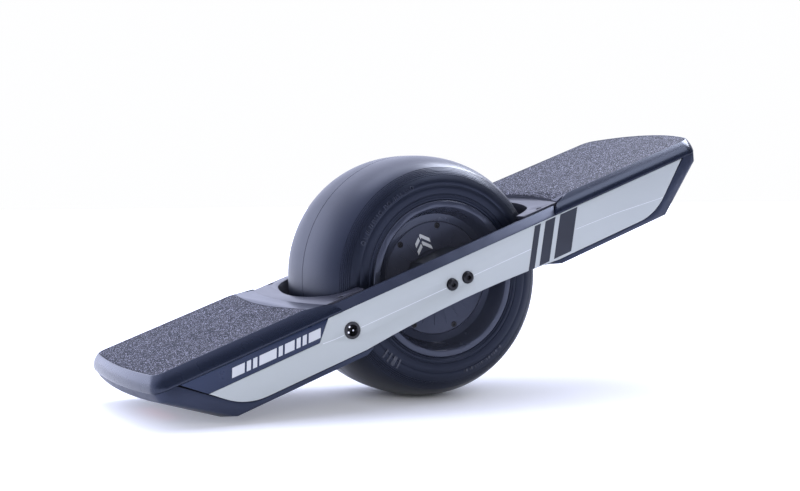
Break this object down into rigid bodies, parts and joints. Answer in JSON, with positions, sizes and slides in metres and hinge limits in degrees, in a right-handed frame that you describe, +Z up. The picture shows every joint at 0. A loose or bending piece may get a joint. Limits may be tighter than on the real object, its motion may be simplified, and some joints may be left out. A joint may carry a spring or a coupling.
{
  "type": "self-balancing one-wheel electric board",
  "caption": "Electric board with one wide hub-motor wheel between two foot platforms, resting on its tail.",
  "frame": {"origin": "on the floor under the middle of the board's bounding box, with the tail and the tyre on the floor", "axes": "+X along the board towards the raised nose, +Y across it to the left side (the power button's side), +Z up"},
  "size_m": [0.7335, 0.2426, 0.3173],
  "materials": {
    "rail_metal": "satin anodised",
    "guard_plastic": "satin",
    "badge_plastic": "gloss",
    "bumper_plastic": "gloss",
    "skid_plastic": "satin",
    "lens_white": "clear",
    "lens_red": "clear",
    "circuit_board": "matt",
    "pad_plastic": "satin",
    "grip": "gritty",
    "sensor_film": "satin",
    "surround_plastic": "satin",
    "case_plastic": "satin",
    "seal_rubber": "matt",
    "cell_wrap": "wrapped",
    "black_steel": "black oxide",
    "bright_steel": "ground",
    "block_metal": "anodised",
    "core_iron": "laminated",
    "copper": "enamelled",
    "cable_orange": "satin",
    "cable_red": "satin",
    "connector_plastic": "satin",
    "contact_brass": "plated",
    "button_metal": "brushed",
    "tyre_rubber": "satin",
    "hub_metal": "satin painted",
    "magnet_metal": "plated",
    "cap_plastic": "satin"
  },
  "bodies": {
    "board": {"right_rail": "rail_metal", "left_rail": "rail_metal", "right_rail_guard": "guard_plastic", "left_rail_guard": "guard_plastic", "right_badge_panel": "badge_plastic", "left_badge_panel": "badge_plastic", "front_bumper": "bumper_plastic", "rear_bumper": "bumper_plastic", "front_skid": "skid_plastic", "rear_skid": "skid_plastic", "front_light_lens": "lens_white", "rear_light_lens": "lens_red", "front_light_board": "circuit_board", "rear_light_board": "circuit_board", "front_footpad": "pad_plastic", "rear_footpad": "pad_plastic", "front_grip_tape": "grip", "rear_grip_tape": "grip", "footpad_sensor": "sensor_film", "footpad_screws": "bright_steel", "front_wheel_surround": "surround_plastic", "rear_wheel_surround": "surround_plastic", "surround_screws": "black_steel", "battery_case": "case_plastic", "battery_lid": "case_plastic", "battery_seal": "seal_rubber", "battery_cells": "cell_wrap", "battery_board": "circuit_board", "controller_case": "case_plastic", "controller_lid": "case_plastic", "controller_seal": "seal_rubber", "controller_board": "circuit_board", "lid_screws": "bright_steel", "case_screws": "black_steel", "skid_screws": "black_steel", "axle": "bright_steel", "right_axle_block": "block_metal", "left_axle_block": "block_metal", "axle_bolts": "black_steel", "stator_core": "core_iron", "stator_windings": "copper", "motor_cable": "cable_orange", "motor_connector": "connector_plastic", "battery_cable": "cable_red", "charge_port": "connector_plastic", "charge_port_pins": "contact_brass", "power_switch": "connector_plastic"},
    "wheel": {"tyre": "tyre_rubber", "motor_shell": "hub_metal", "flux_ring": "core_iron", "magnets": "magnet_metal", "right_motor_cover": "hub_metal", "left_motor_cover": "hub_metal", "cover_screws": "black_steel", "bearings": "bright_steel", "axle_seals": "seal_rubber", "valve_stem": "contact_brass", "valve_cap": "cap_plastic"},
    "button": {"power_button": "button_metal"}
  },
  "joints": [
    {"name": "wheel_spin", "type": "hinge", "parent": "board", "child": "wheel", "pos_m": [0.00288, 0, 0.144], "axis": [0, 1, 0], "continuous": true},
    {"name": "button_press", "type": "slide", "parent": "board", "child": "button", "axis": [0, -1, 0], "range_m": [0, 0.0015], "stiffness_N_per_m": 600, "springref_m": -0.001}
  ]
}
